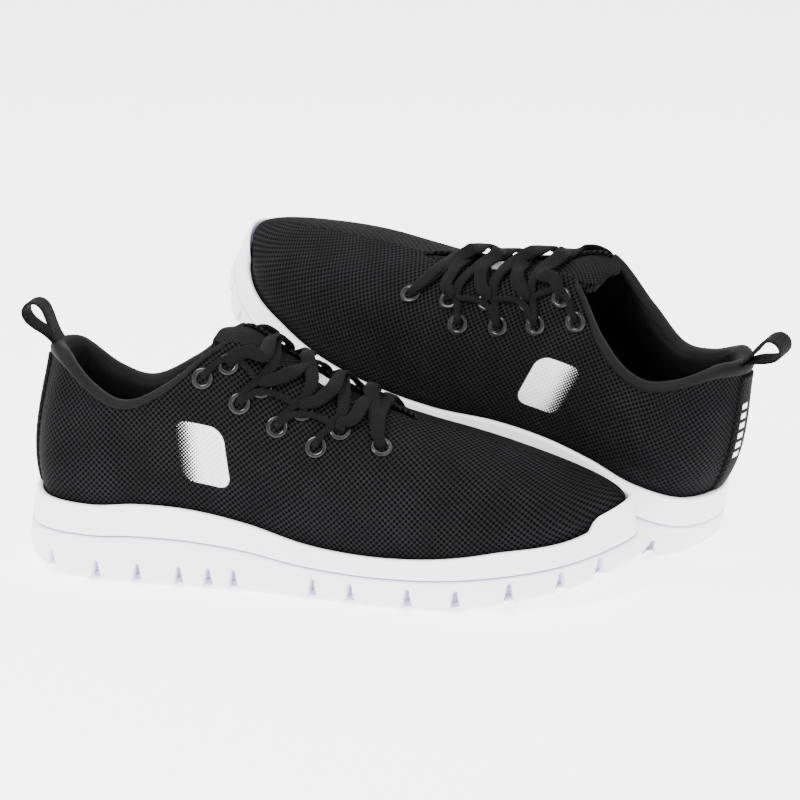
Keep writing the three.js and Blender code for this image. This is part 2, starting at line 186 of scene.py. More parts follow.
# ---- mesh building -----------------------------------------------------------------------------
def new_object(name, points, faces, material, uv=None, marks=None):
    mesh = bpy.data.meshes.new(name)
    mesh.from_pydata([tuple(p) for p in points], [], faces)
    if uv is not None:
        layer = mesh.uv_layers.new(name="cloth")
        corners = np.zeros(len(mesh.loops), int)
        mesh.loops.foreach_get("vertex_index", corners)
        layer.data.foreach_set("uv", np.asarray(uv, np.float32)[corners].ravel())
    if marks is not None:
        attribute = mesh.attributes.new("mark", "FLOAT", "POINT")
        attribute.data.foreach_set("value", np.asarray(marks, np.float32))
    mesh.polygons.foreach_set("use_smooth", np.ones(len(mesh.polygons), bool))
    mesh.materials.append(material)
    piece = bpy.data.objects.new(name, mesh)
    bpy.context.collection.objects.link(piece)
    return piece


def grid_faces(rows, columns, wrap_rows=False, wrap_columns=False, start=0, flip=False):
    faces = []
    for i in range(rows if wrap_rows else rows - 1):
        for j in range(columns if wrap_columns else columns - 1):
            a = start + i * columns + j
            b = start + ((i + 1) % rows) * columns + j
            c = start + ((i + 1) % rows) * columns + (j + 1) % columns
            d = start + i * columns + (j + 1) % columns
            faces.append((a, b, c, d) if not flip else (d, c, b, a))
    return faces


def finish_piece(piece, body, slot, *nodes):
    """Faces out, on its body, standing for its CAD nodes."""
    fix_normals(piece)
    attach(piece, body)
    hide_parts(*nodes)
    return piece


def fix_normals(piece):
    work = bmesh.new()
    work.from_mesh(piece.data)
    bmesh.ops.remove_doubles(work, verts=work.verts, dist=2e-6)
    bmesh.ops.recalc_face_normals(work, faces=work.faces)
    work.to_mesh(piece.data)
    work.free()


def swell(piece, cap, frames=10):
    """Cloth under pressure fills the pad; points marked 1 are sewn down. cap limits the travel."""
    count = len(piece.data.vertices)
    rest, moved = np.zeros(count * 3), np.zeros(count * 3)
    sewn = np.zeros(count, np.float32)
    piece.data.vertices.foreach_get("co", rest)
    piece.data.attributes["mark"].data.foreach_get("value", sewn)
    group = piece.vertex_groups.new(name="sewn")
    group.add([int(i) for i in np.nonzero(sewn > 0.5)[0]], 1.0, "REPLACE")
    cloth = piece.modifiers.new("padding", "CLOTH")
    cloth.settings.quality = 4
    cloth.settings.use_pressure = True
    cloth.settings.uniform_pressure_force = 12
    cloth.settings.effector_weights.gravity = 0
    cloth.settings.vertex_group_mass = "sewn"
    cloth.collision_settings.use_collision = False
    for step in range(1, frames + 1):
        bpy.context.scene.frame_set(step)
    shaped = piece.evaluated_get(bpy.context.evaluated_depsgraph_get())
    shaped.data.vertices.foreach_get("co", moved)
    piece.modifiers.remove(cloth)
    bpy.context.scene.frame_set(1)
    travel = (moved - rest).reshape(-1, 3)
    length = np.maximum(np.linalg.norm(travel, axis=1), 1e-9)
    travel *= np.minimum(1, cap / length)[:, None]
    piece.data.vertices.foreach_set("co", rest + travel.ravel())
    piece.data.update()
    reach = np.minimum(length, cap) / MM
    print(f"{piece.name}: swelled by {reach.mean():.2f} mm on average, {reach.max():.2f} mm at most")


def with_cap_rows(values):
    """The values, then one more row for each end cap's middle point."""
    return np.concatenate([values, values[:1], values[-1:]])


def loop_solid(name, form, rings, material, uv=None, marks=None, wrap=True):
    """rings[i][j]: section points j (closed) at place i along the piece, wrapped or capped."""
    rings = np.asarray(rings, float)
    rows, columns = rings.shape[:2]
    faces = grid_faces(rows, columns, wrap_rows=wrap, wrap_columns=True)
    points = form.place(rings)
    if not wrap:
        points = np.vstack([points, points[:columns].mean(0), points[-columns:].mean(0)])
        for j in range(columns):
            k = (j + 1) % columns
            faces.append((rows * columns, k, j))
            last = (rows - 1) * columns
            faces.append((rows * columns + 1, last + j, last + k))
        uv = with_cap_rows(uv.reshape(-1, 2)) if uv is not None else None
        marks = with_cap_rows(marks.ravel()) if marks is not None else None
    else:
        uv = uv.reshape(-1, 2) if uv is not None else None
        marks = marks.ravel() if marks is not None else None
    return new_object(name, points, faces, material, uv, marks)


# ---- node materials ----------------------------------------------------------------------------
class Nodes:
    """A few short words for building a material's node tree."""

    def __init__(self, name):
        self.material = bpy.data.materials.new(name)
        self.material.use_nodes = True
        self.tree = self.material.node_tree
        self.shader = self.tree.nodes["Principled BSDF"]

    def new(self, kind, **settings):
        node = self.tree.nodes.new(kind)
        for key, value in settings.items():
            setattr(node, key, value)
        return node

    def put(self, socket, value):
        if isinstance(value, bpy.types.NodeSocket):
            self.tree.links.new(value, socket)
        else:
            socket.default_value = value

    def math(self, operation, *values, clamp=False):
        node = self.new("ShaderNodeMath", operation=operation, use_clamp=clamp)
        for socket, value in zip(node.inputs, values):
            self.put(socket, value)
        return node.outputs[0]

    def ramp(self, value, low, high):
        node = self.new("ShaderNodeMapRange", interpolation_type="SMOOTHSTEP")
        for socket, v in zip(node.inputs, (value, low, high)):
            self.put(socket, v)
        return node.outputs[0]

    def mix(self, factor, a, b):
        node = self.new("ShaderNodeMix", data_type="RGBA")
        self.put(node.inputs["Factor"], factor)
        self.put(node.inputs["A"], a)
        self.put(node.inputs["B"], b)
        return node.outputs["Result"]

    def uv(self):
        node = self.new("ShaderNodeUVMap", uv_map="cloth")
        split = self.new("ShaderNodeSeparateXYZ")
        self.put(split.inputs[0], node.outputs[0])
        return split.outputs[0], split.outputs[1]

    def noise(self, scale, detail=2.0):
        place = self.new("ShaderNodeTexCoord")
        node = self.new("ShaderNodeTexNoise")
        self.put(node.inputs["Vector"], place.outputs["Object"])
        self.put(node.inputs["Scale"], scale)
        self.put(node.inputs["Detail"], detail)
        return node.outputs["Fac"]

    def bump(self, height, strength, distance):
        node = self.new("ShaderNodeBump")
        self.put(node.inputs["Height"], height)
        self.put(node.inputs["Strength"], strength)
        self.put(node.inputs["Distance"], distance)
        self.put(self.shader.inputs["Normal"], node.outputs[0])

    def wave(self, value, pitch, phase=0.0):
        turns = self.math("MULTIPLY", value, 2 * math.pi / pitch)
        return self.math("COSINE", self.math("ADD", turns, phase))

    def set(self, **values):
        for key, value in values.items():
            self.put(self.shader.inputs[key.replace("_", " ")], value)
        return self


def grey(value, blue=1.0):
    return (value, value, value * blue, 1)


PITCH = 2.7                       # knit pitch, millimetres
PRINT = {"u": 91.0, "v": 27.5, "half_width": 11.5, "half_height": 13.5, "slant": 0.16, "corner": 6}


def halftone_print(nodes, u, v, spot, fade=True):
    """1 where a slanted rounded tile is printed white, broken into dots towards the heel."""
    x = nodes.math("SUBTRACT", u, spot["u"])
    y = nodes.math("SUBTRACT", v, spot["v"])
    x = nodes.math("ADD", x, nodes.math("MULTIPLY", y, spot["slant"]))
    corner = spot["corner"]
    dx = nodes.math("MAXIMUM", nodes.math("SUBTRACT", nodes.math("ABSOLUTE", x),
                                          spot["half_width"] - corner), 0.0)
    dy = nodes.math("MAXIMUM", nodes.math("SUBTRACT", nodes.math("ABSOLUTE", y),
                                          spot["half_height"] - corner), 0.0)
    distance = nodes.math("SQRT", nodes.math("ADD", nodes.math("MULTIPLY", dx, dx),
                                             nodes.math("MULTIPLY", dy, dy)))
    tile = nodes.ramp(distance, corner + 0.25, corner - 0.25)
    if not fade:
        return tile
    dots = nodes.math("ADD", nodes.wave(nodes.math("ADD", u, v), 1.7),
                      nodes.wave(nodes.math("SUBTRACT", u, v), 1.7))
    reach = nodes.math("MULTIPLY", nodes.math("ADD", x, 5.0), 0.2)
    level = nodes.math("ADD", nodes.math("MULTIPLY", dots, 0.55), reach)
    return nodes.math("MULTIPLY", tile, nodes.ramp(level, -0.25, 0.15))


def knit_material(name, spot=None, thread=0.0085, pitch=PITCH, fade=True):
    nodes = Nodes(name)
    u, v = nodes.uv()
    lattice = nodes.math("ADD", nodes.wave(nodes.math("ADD", u, v), pitch),
                         nodes.wave(nodes.math("SUBTRACT", u, v), pitch))
    hole = nodes.ramp(lattice, -0.35, 0.75)
    rib = nodes.wave(u, pitch / 2)
    cloud = nodes.noise(55.0)
    tone = nodes.math("MULTIPLY", nodes.math("ADD", cloud, 0.55), thread)
    thread_colour = nodes.new("ShaderNodeCombineColor")
    for i, tint in enumerate((1.0, 0.99, 1.08)):
        nodes.put(thread_colour.inputs[i], nodes.math("MULTIPLY", tone, tint))
    colour = nodes.mix(hole, thread_colour.outputs[0], grey(0.0002))
    if spot is not None:
        mask = halftone_print(nodes, u, v, spot, fade)
        kept = nodes.math("MULTIPLY", mask, nodes.math("SUBTRACT", 1.0,
                                                       nodes.math("MULTIPLY", hole, 0.12)))
        colour = nodes.mix(kept, colour, grey(0.83))
    nodes.put(nodes.shader.inputs["Base Color"], colour)
    height = nodes.math("SUBTRACT", nodes.math("MULTIPLY", rib, 0.14), hole)
    nodes.bump(height, 0.75, 0.0006)
    nodes.set(Roughness=0.75)
    nodes.set(Specular_IOR_Level=0.03)
    return nodes.material


def ribbed_material(name, across=0.62, along=1.1, colour=0.0026, strength=0.55):
    """Braid or tape: fine ribs across its width, broken by the weft along it."""
    nodes = Nodes(name)
    u, v = nodes.uv()
    weave = nodes.math("ADD", nodes.wave(nodes.math("ADD", v, nodes.math("MULTIPLY", u, 0.5)), along),
                       nodes.wave(nodes.math("SUBTRACT", v, nodes.math("MULTIPLY", u, 0.5)), along))
    ribs = nodes.math("ADD", nodes.math("MULTIPLY", nodes.wave(u, across * 2), 0.5), weave)
    # Painted light and shade: rib crests are coloured lighter and troughs darker.
    shade = nodes.ramp(ribs, -2.0, 2.2)
    fuzz = nodes.noise(400.0, 3.0)
    colour_out = nodes.mix(shade, grey(colour * 0.35), grey(colour * 1.6, 1.05))
    nodes.put(nodes.shader.inputs["Base Color"], colour_out)
    nodes.bump(nodes.math("ADD", ribs, fuzz), strength, 0.00025)
    nodes.set(Roughness=0.8, Sheen_Weight=0.008, Sheen_Roughness=0.4)
    nodes.set(Specular_IOR_Level=0.08)
    return nodes.material


def brushed_material(name, colour=0.0022, blue=1.12, scale=900.0):
    """Short-napped lining cloth."""
    nodes = Nodes(name)
    nap = nodes.noise(scale, 4.0)
    cloud = nodes.noise(40.0)
    tone = nodes.math("ADD", nodes.math("MULTIPLY", nap, 0.5), cloud)
    nodes.put(nodes.shader.inputs["Base Color"],
              nodes.mix(nodes.ramp(tone, 0.4, 1.1), grey(colour * 0.6, blue), grey(colour * 1.5, blue)))
    nodes.bump(nap, 0.35, 0.0003)
    nodes.set(Roughness=0.65, Sheen_Weight=0.008, Sheen_Roughness=0.35)
    nodes.set(Specular_IOR_Level=0.1)
    return nodes.material


def foam_material(name, colour=(0.87, 0.87, 0.9, 1), shade=(0.36, 0.34, 0.56, 1), grain=1400.0):
    """White moulded foam; the mark attribute paints lavender shade into grooves and creases."""
    nodes = Nodes(name)
    mark = nodes.new("ShaderNodeAttribute", attribute_name="mark")
    skin = nodes.noise(grain, 3.0)
    cloud = nodes.noise(18.0)
    tint = nodes.mix(nodes.math("MULTIPLY", cloud, 0.25), colour, (0.93, 0.93, 0.96, 1))
    # Painted shade: the mark mixes the lavender shade colour over the foam's own white.
    nodes.put(nodes.shader.inputs["Base Color"], nodes.mix(mark.outputs["Fac"], tint, shade))
    nodes.bump(skin, 0.12, 0.0002)
    nodes.set(Roughness=0.5)
    nodes.set(Specular_IOR_Level=0.3)
    return nodes.material


def metal_material():
    nodes = Nodes("eyelet_metal")
    wear = nodes.noise(300.0, 3.0)
    nodes.put(nodes.shader.inputs["Base Color"],
              nodes.mix(nodes.ramp(wear, 0.45, 0.7), grey(0.003), grey(0.008)))
    nodes.put(nodes.shader.inputs["Roughness"], nodes.math("MULTIPLY", wear, 0.2))
    nodes.bump(wear, 0.05, 0.0001)
    nodes.set(Metallic=0.1)
    nodes.set(Specular_IOR_Level=0.3)
    return nodes.material


def board_material(name, light, dark):
    nodes = Nodes(name)
    fibre = nodes.noise(700.0, 5.0)
    nodes.put(nodes.shader.inputs["Base Color"], nodes.mix(nodes.ramp(fibre, 0.35, 0.65), dark, light))
    nodes.bump(fibre, 0.3, 0.0003)
    nodes.set(Roughness=0.9)
    return nodes.material


MATERIALS = {
    "mesh": knit_material("knitted_mesh", PRINT),
    "tongue": knit_material("tongue_mesh", {"u": 142.0, "v": 0.0, "half_width": 9, "half_height": 6,
                                            "slant": 0.0, "corner": 3}, thread=0.007),
    "lining": brushed_material("collar_lining"),
    "lace": ribbed_material("lace_braid"),
    "webbing": ribbed_material("webbing_tape", across=0.9, along=1.8, colour=0.003, strength=0.7),
    "print": foam_material("strap_print", colour=(0.8, 0.8, 0.8, 1), grain=600.0),
    "midsole": foam_material("midsole_foam"),
    "outsole": foam_material("outsole_rubber", colour=(0.85, 0.85, 0.89, 1), grain=900.0),
    "metal": metal_material(),
    "sockliner": brushed_material("sockliner_cloth", colour=0.006, blue=1.05, scale=500.0),
    "board": board_material("strobel_fibre", (0.7, 0.66, 0.58, 1), (0.5, 0.46, 0.4, 1)),
    "stiffener": board_material("stiffener_fibre", (0.24, 0.22, 0.2, 1), (0.14, 0.13, 0.12, 1)),
}


# ---- sole --------------------------------------------------------------------------------------
def sole_samples(count=1400):
    return np.arange(count) / count * AROUND


def centre_line(base):
    """Midway between each point of the bite line and the one across the shoe from it."""
    centre = base.copy()
    centre[:, 1] = (base[:, 1] + base[::-1][np.arange(-1, len(base) - 1), 1]) / 2
    return centre


def groove_depth(x, rise):
    """How far a flex groove cuts into the wall at x, rise above the tread: flared at its foot."""
    depth = np.zeros(np.broadcast(x, rise).shape)
    for groove in GROOVES_X:
        half = 1.0 + 2.4 * np.clip(1 - rise / GROOVE_HEIGHT, 0, 1) ** 1.6
        inside = 1 - smooth_step(half * 0.55, half, np.abs(x - groove))
        top = 1 - smooth_step(GROOVE_HEIGHT - 3, GROOVE_HEIGHT, rise)
        depth = np.maximum(depth, inside * top)
    return depth


def make_outsole(form):
    stations = sole_samples()
    base = form.bite(stations)
    out = form.plan_normal(stations)
    centre = centre_line(base)
    edge = base + out * (TREAD_FLARE - TREAD_ROUND)
    rows, marks = [], []

    def add(points, x_ref, rise, inward):
        cut = groove_depth(x_ref, rise)
        points = points - out * (cut * inward)[:, None]
        rows.append(points)
        # Painted shade: the groove cut also sets how strongly the flanks are tinted lavender.
        marks.append(cut * 0.9)

    for share in np.linspace(0.0, 1.0, 12):
        p = centre + (edge - centre) * share
        p[:, 2] = tread_z(p[:, 0])
        cut = groove_depth(p[:, 0], np.zeros(len(p)))
        p[:, 2] += cut * 3.5 * smooth_step(0.2, 0.5, share)
        rows.append(p)
        # Painted shade in the grooves across the tread.
        marks.append(cut * 0.5 * share)
    crest = base[:, 2] * CREASE
    for step in np.linspace(0, 1, 9)[1:]:
        a = step * math.pi / 2
        p = base + out * (TREAD_FLARE - TREAD_ROUND + TREAD_ROUND * math.sin(a))
        rise = TREAD_ROUND * (1 - math.cos(a))
        p[:, 2] = tread_z(p[:, 0]) + rise
        add(p, p[:, 0], np.full(len(p), rise), GROOVE_CUT)
    for step in np.linspace(0, 1, 15)[1:]:
        p = base + out * (TREAD_FLARE - 0.9 * step ** 2)
        foot = tread_z(p[:, 0]) + TREAD_ROUND
        p[:, 2] = foot + (crest - 0.6 - foot) * step
        add(p, p[:, 0], p[:, 2] - foot + TREAD_ROUND, GROOVE_CUT)
    # The rows from here up carry half-strength painted shade along the crease under the midsole.
    for inset, drop in ((1.6, 0.15), (3.5, 0.0)):
        p = base + out * (TREAD_FLARE - 0.9 - inset)
        p[:, 2] = crest - drop
        rows.append(p)
        marks.append(np.full(len(p), 0.5))
    top = [centre + (rows[-1] - centre) * s for s in (0.6, 0.25, 0.0)]
    for p in top:
        p[:, 2] = crest
        rows.append(p)
        marks.append(np.full(len(p), 0.5))
    grid = np.array(rows)
    faces = grid_faces(grid.shape[0], grid.shape[1], wrap_columns=True)
    return new_object(f"{form.name}_sole_tread", form.place(grid), faces, MATERIALS["outsole"],
                      marks=np.array(marks).ravel())


def bumper_rise(x):
    """The midsole's top edge dips just behind the toe and steps up into the toe bumper."""
    return 5.6 * smooth_step(265.5, 270, x) - 3.4 * smooth_step(225, 262, x)


def make_midsole(form):
    stations = sole_samples()
    base = form.bite(stations)
    out = form.plan_normal(stations)
    rise = bumper_rise(base[:, 0])
    crest = base[:, 2] * CREASE
    top = base[:, 2] + rise
    lip = 0.5 + 0.45 * np.maximum(rise, 0)
    # Each profile entry is (offset from the bite line, height, mark); the mark is painted lavender
    # shade along the crease and down the inner lip.
    profile = [(TREAD_FLARE - 4.5, crest + 0.35, 0.4), (TREAD_FLARE - 2.2, crest + 0.3, 0.3),
               (TREAD_FLARE - 1.5, crest + 0.7, 0.1)]
    for step in np.linspace(0, 1, 12):
        flare = TREAD_FLARE - 1.25 - 2.3 * step ** 1.6 - 0.5 * math.sin(step * math.pi)
        profile.append((flare, crest + 1.4 + (top - 1.2 - crest - 1.4) * step, 0.0))
    for angle in (30, 60, 90):
        a = math.radians(angle)
        profile.append((TREAD_FLARE - 3.55 - 1.2 * (1 - math.cos(a)),
                        top - 1.2 + 1.2 * math.sin(a), 0.0))
    profile += [(lip + 0.3, top - 0.1, 0.05), (lip, top - 0.8, 0.4), (lip - 0.1, base[:, 2] - 5, 1.0)]
    grid, marks = [], []
    for offset, z, mark in profile:
        p = base + out * np.broadcast_to(offset, len(base))[:, None]
        p[:, 2] = z
        grid.append(p)
        marks.append(np.full(len(p), mark))
    centre = centre_line(base)
    floor, sill = grid[-1], grid[0]
    grid = ([centre + (sill - centre) * s for s in (0.0, 0.5)] + grid
            + [centre + (floor - centre) * s for s in (0.5, 0.0)])
    for p in grid[:2]:
        p[:, 2] = sill[:, 2]
    for p in grid[-2:]:
        p[:, 2] = floor[:, 2]
    marks = [marks[0]] * 2 + marks + [marks[-1]] * 2
    grid = np.array(grid)
    faces = grid_faces(grid.shape[0], grid.shape[1], wrap_columns=True)
    return new_object(f"{form.name}_midsole_cup", form.place(grid), faces, MATERIALS["midsole"],
                      marks=np.array(marks).ravel())


# ---- upper -------------------------------------------------------------------------------------
def cloth_uv(form, points, stations):
    """Millimetres along the shoe and up its wall from the bite line at the same length."""
    ring = form.bite(np.linspace(0, AROUND, 881))
    half = len(ring) // 2
    lateral, medial = ring[:half + 1], ring[half:][::-1]
    x, y, z = points[..., 0], points[..., 1], points[..., 2]
    on_lateral = y * form.side > 0
    widths = [np.interp(x, r[:, 0], np.abs(r[:, 1])) for r in (lateral, medial)]
    heights = [np.interp(x, r[:, 0], r[:, 2]) for r in (lateral, medial)]
    width = np.where(on_lateral, widths[0], widths[1])
    height = np.where(on_lateral, heights[0], heights[1])
    v = np.hypot(width - np.abs(y), z - height)
    steps = np.linalg.norm(np.diff(ring[:, :2], axis=0), axis=1)
    arc = np.concatenate([[0], np.cumsum(steps)])
    folded = np.minimum(stations, AROUND - stations)
    at = np.interp(folded, np.linspace(0, AROUND, 881), arc)
    bend = 37 - (np.interp(2.0, np.linspace(0, AROUND, 881), arc) - at)
    blend = 1 - smooth_step(1.4, 2.6, folded)
    u = x * (1 - blend) + bend * blend
    side = np.where(on_lateral, 0.0, 500.0 * PITCH)
    return np.stack([u + side, v], -1)


def make_upper(form):
    """The knitted shell, doubled at its rim."""
    count = 520
    stations = np.arange(count) / count * AROUND
    shares = np.linspace(0, 1, 76)
    s, v = np.meshgrid(stations, shares, indexing="ij")
    outer = form.wall(s, v, 0.0)
    skirt = form.bite(stations) - np.array([0, 0, SKIRT_DEPTH])
    outer = np.concatenate([skirt[:, None], outer], 1)
    inner = form.wall(s, v, -UPPER_WALL)
    inner_skirt = skirt - form.plan_normal(stations) * UPPER_WALL
    inner = np.concatenate([inner_skirt[:, None], inner], 1)
    rim = form.wall(stations, 1.0, -UPPER_WALL / 2) + form_up(form, stations) * 0.6
    ring = np.concatenate([outer, rim[:, None], inner[:, ::-1]], 1)
    s_all = np.broadcast_to(stations[:, None], ring.shape[:2])
    uv = cloth_uv(form, ring, s_all)
    return loop_solid(f"{form.name}_knit_upper", form, ring, MATERIALS["mesh"], uv=uv)


def form_up(form, stations):
    rise = form.raw(stations, 1.0) - form.raw(stations, 0.98)
    return rise / np.linalg.norm(rise, axis=-1, keepdims=True)


# Collar section as (share of wall height, offset from the outer face, rise above the rim).
COLLAR_SECTION = (
    (0.950, 0.15, 0.0), (0.956, 0.85, 0.0), (0.975, 1.35, 0.0), (1.0, 1.35, 0.2),
    (1.0, 0.75, 1.5), (1.0, -0.8, 2.5), (1.0, -3.0, 2.7), (1.0, -5.2, 1.7), (1.0, -6.8, -0.4),
    (0.93, -7.9, 0.0), (0.84, -8.3, 0.0), (0.74, -7.9, 0.0), (0.65, -6.8, 0.0), (0.58, -5.2, 0.0),
    (0.52, -3.9, 0.0), (0.42, -3.5, 0.0), (0.25, -3.5, 0.0), (0.06, -3.5, 0.0), (0.05, -2.3, 0.0),
    (0.4, -2.15, 0.0), (0.75, -2.15, 0.0), (1.0, -2.15, 0.1), (1.0, 0.1, 0.2),
)


def make_collar(form):
    """Padded lining: rolled over the rim, fullest below it, thin down to the insole."""
    reach = 4.95
    stations = np.linspace(-reach, reach, 190)
    section = np.array(COLLAR_SECTION)
    fine = np.linspace(0, len(section), len(section) * 4, endpoint=False)
    section = np.stack([closed_spline(section[:, k], fine) for k in range(3)], 1)
    taper = 1 - 0.75 * smooth_step(reach - 1.1, reach, np.abs(stations))
    puff = 1 + 0.05 * np.sin(stations * 2.2) * np.cos(stations * 0.9 + 0.6)
    rings = []
    for station, thin, full in zip(stations, taper, puff):
        share = np.clip(section[:, 0], 0.0, 1.0)
        offset = np.where(section[:, 1] < -2.5, -2.5 + (section[:, 1] + 2.5) * thin * full,
                          section[:, 1] * np.where(section[:, 1] > 0, 0.4 + 0.6 * thin, 1))
        p = form.wall(np.full(len(share), station), share, offset)
        rings.append(p + form_up(form, np.array([station])) * section[:, 2:3] * thin)
    sewn = np.tile(section[:, 1] > -2.7, (len(rings), 1)) | (taper < 0.4)[:, None]
    return loop_solid(f"{form.name}_padded_collar", form, rings, MATERIALS["lining"],
                      marks=sewn.astype(float), wrap=False)


def closed_spline(values, at):
    i = np.floor(at).astype(int)
    f = at - i
    n = len(values)
    p0, p1, p2, p3 = (values[(i + k) % n] for k in (-1, 0, 1, 2))
    return 0.5 * (2 * p1 + (p2 - p0) * f + (2 * p0 - 5 * p1 + 4 * p2 - p3) * f ** 2
                  + (3 * p1 - p0 - 3 * p2 + p3) * f ** 3)


def open_spline(points, per_span=10):
    points = np.asarray(points, float)
    padded = np.vstack([2 * points[0] - points[1], points, 2 * points[-1] - points[-2]])
    out = []
    for i in range(len(points) - 1):
        p0, p1, p2, p3 = padded[i:i + 4]
        for f in np.arange(per_span) / per_span:
            out.append(0.5 * (2 * p1 + (p2 - p0) * f + (2 * p0 - 5 * p1 + 4 * p2 - p3) * f ** 2
                              + (3 * p1 - p0 - 3 * p2 + p3) * f ** 3))
    out.append(points[-1])
    return np.array(out)


# ---- tongue ------------------------------------------------------------------------------------
def throat_top(form, station, across):
    """Top of the tongue under the throat: across runs from -1, lateral tuck, to 1, medial tuck."""
    edge = []
    for half in (1, -1):
        edge.append([form.wall(half * station, 0.93, -3.4), form.wall(half * station, 0.975, -2.9),
                     form.wall(half * station, 1.0, -2.5)])
    middle = (edge[0][2] + edge[1][2]) / 2 + np.array([0, 0, 1.4])
    key = np.array(edge[0] + [middle] + edge[1][::-1])
    at = np.interp(across, np.linspace(-1, 1, 7), np.arange(7.0))
    i = np.clip(np.floor(at).astype(int), 0, 5)
    f = (at - i)[:, None]
    padded = np.vstack([2 * key[0] - key[1], key, 2 * key[-1] - key[-2]])
    p0, p1, p2, p3 = (padded[i + k] for k in range(4))
    return 0.5 * (2 * p1 + (p2 - p0) * f + (2 * p0 - 5 * p1 + 4 * p2 - p3) * f ** 2
                  + (3 * p1 - p0 - 3 * p2 + p3) * f ** 3)


def make_tongue(form):
    across = np.linspace(-1, 1, 33)
    stations = np.linspace(5.15, 10.5, 64)
    rows = [throat_top(form, s, across) for s in stations]
    first = rows[0]
    tip = []
    for k in np.linspace(1, 0, 14)[:-1]:
        lift = np.array([-11.0 * k, 0, 2.6 * k - 1.6 * k * k])
        row = first + lift
        row[:, 1] *= 1 - 0.26 * k ** 2
        tip.append(row)
    top = np.array(tip + rows)
    length = np.linspace(0, 1, len(top))[:, None]
    round_edge = (1 - np.abs(across) ** 6)[None, :] * np.minimum(1, length * 26 + 0.15)
    thick = 1.0 + 3.2 * round_edge * (0.55 + 0.45 * (1 - smooth_step(0.2, 0.5, length)))
    quilt = 0.25 * np.cos(across * 9)[None, :] * round_edge
    down = np.array([-0.35, 0, -0.94])
    upper_face = top + np.array([0, 0, 1.0]) * (quilt * 0.5)[..., None]
    lower_face = top + down * thick[..., None]
    ring = np.concatenate([upper_face, lower_face[:, ::-1]], 1)
    u = np.broadcast_to(ring[..., 0], ring.shape[:2])
    v = ring[..., 1]
    uv = np.stack([u * 1.15 - 20, v], -1)
    sewn = np.tile(np.abs(np.concatenate([across, across[::-1]])) > 0.93, (len(ring), 1))
    sewn |= (length > 0.45)
    return loop_solid(f"{form.name}_padded_tongue", form, ring, MATERIALS["tongue"], uv=uv,
                      marks=sewn.astype(float), wrap=False)


# ---- lace --------------------------------------------------------------------------------------
def ribbon(name, form, points, normals, widths, thickness, material):
    """A flat braid: rounded section carried along a smooth line, its face along the normals."""
    path = open_spline(np.hstack([points, normals, np.array(widths, float)[:, None]]))
    line, normal, width = path[:, :3], path[:, 3:6], path[:, 6]
    tangent = np.gradient(line, axis=0)
    tangent /= np.linalg.norm(tangent, axis=1)[:, None]
    normal -= tangent * np.sum(normal * tangent, 1)[:, None]
    normal /= np.linalg.norm(normal, axis=1)[:, None]
    side = np.cross(tangent, normal)
    angles = np.linspace(0, 2 * math.pi, 16, endpoint=False)
    a = np.sign(np.cos(angles)) * np.abs(np.cos(angles)) ** 0.6
    b = np.sign(np.sin(angles)) * np.abs(np.sin(angles)) ** 0.8
    rings = (line[:, None] + side[:, None] * (a[None, :, None] * width[:, None, None] / 2)
             + normal[:, None] * (b[None, :, None] * thickness / 2))
    run = np.concatenate([[0], np.cumsum(np.linalg.norm(np.diff(line, axis=0), axis=1))])
    u = np.broadcast_to(run[:, None], rings.shape[:2])
    v = a[None, :] * width[:, None] / 2 + np.where(b[None, :] > 0, 0, 0.3)
    return loop_solid(name, form, rings, material, uv=np.stack([u, v], -1), wrap=False)


def crossing(form, half, row, over):
    """Wide lace from inner eyelet `row` on one side over the throat to the other side, where it
    narrows and goes into the outer eyelet one row nearer the toe."""
    start, end = INNER_EYELETS[row], INNER_EYELETS[row - 1]
    points, normals, widths = [], [], []

    def at(side_half, station, share, height, width):
        points.append(form.wall(side_half * station, share, height))
        normals.append(form.normal(side_half * station, share))
        widths.append(width)

    lift = 1.5 if over else 0.0
    at(half, start[0], start[1], -2.2, 3.6)
    at(half, start[0] + 0.02, start[1] + 0.004, 1.0, 4.2)
    at(half, start[0] + 0.08, start[1] + 0.035, 3.0, 5.6)
    at(half, start[0] + 0.34, start[1] + 0.09, 3.0, 6.4)
    at(half, start[0] + 0.62, 0.94, 2.7 + lift, 6.8)
    near = form.wall(half * (start[0] + 0.74), 1.0)
    far = form.wall(-half * (end[0] + 0.22), 1.0)
    up = np.array([-0.25, 0.0, 0.97])
    bow = 2.6 + 2.2 * lift
    for share, rise in ((0.3, 0.85), (0.5, 1.0), (0.7, 0.8)):
        points.append(near + (far - near) * share + up * (bow * rise + 1.2))
        normals.append(up)
        widths.append(6.9)
    at(-half, end[0] + 0.2, 0.97, 1.7 + 0.4 * lift, 6.6)
    if row > 1:
        outer = OUTER_EYELETS[row - 2]
        mid = ((end[0] * 0.45 + outer[0] * 0.55) - 0.06, end[1] * 0.4 + outer[1] * 0.6)
        at(-half, end[0] + 0.12, end[1] + 0.10, 1.6, 5.0)
        at(-half, mid[0], mid[1] + 0.02, 1.7, 3.4)
        at(-half, outer[0] + 0.04, outer[1] + 0.02, 2.2, 3.0)
        at(-half, outer[0], outer[1], -2.0, 2.8)
    else:
        at(-half, end[0] + 0.1, end[1] + 0.14, 1.7, 6.0)
        at(-half, end[0] - 0.02, end[1] + 0.03, 2.6, 4.6)
        at(-half, end[0], end[1], -2.2, 3.6)
    label = "lateral" if half > 0 else "medial"
    return ribbon(f"{form.name}_lace_{label}_{row}", form, points, normals, widths, 1.9,
                  MATERIALS["lace"])


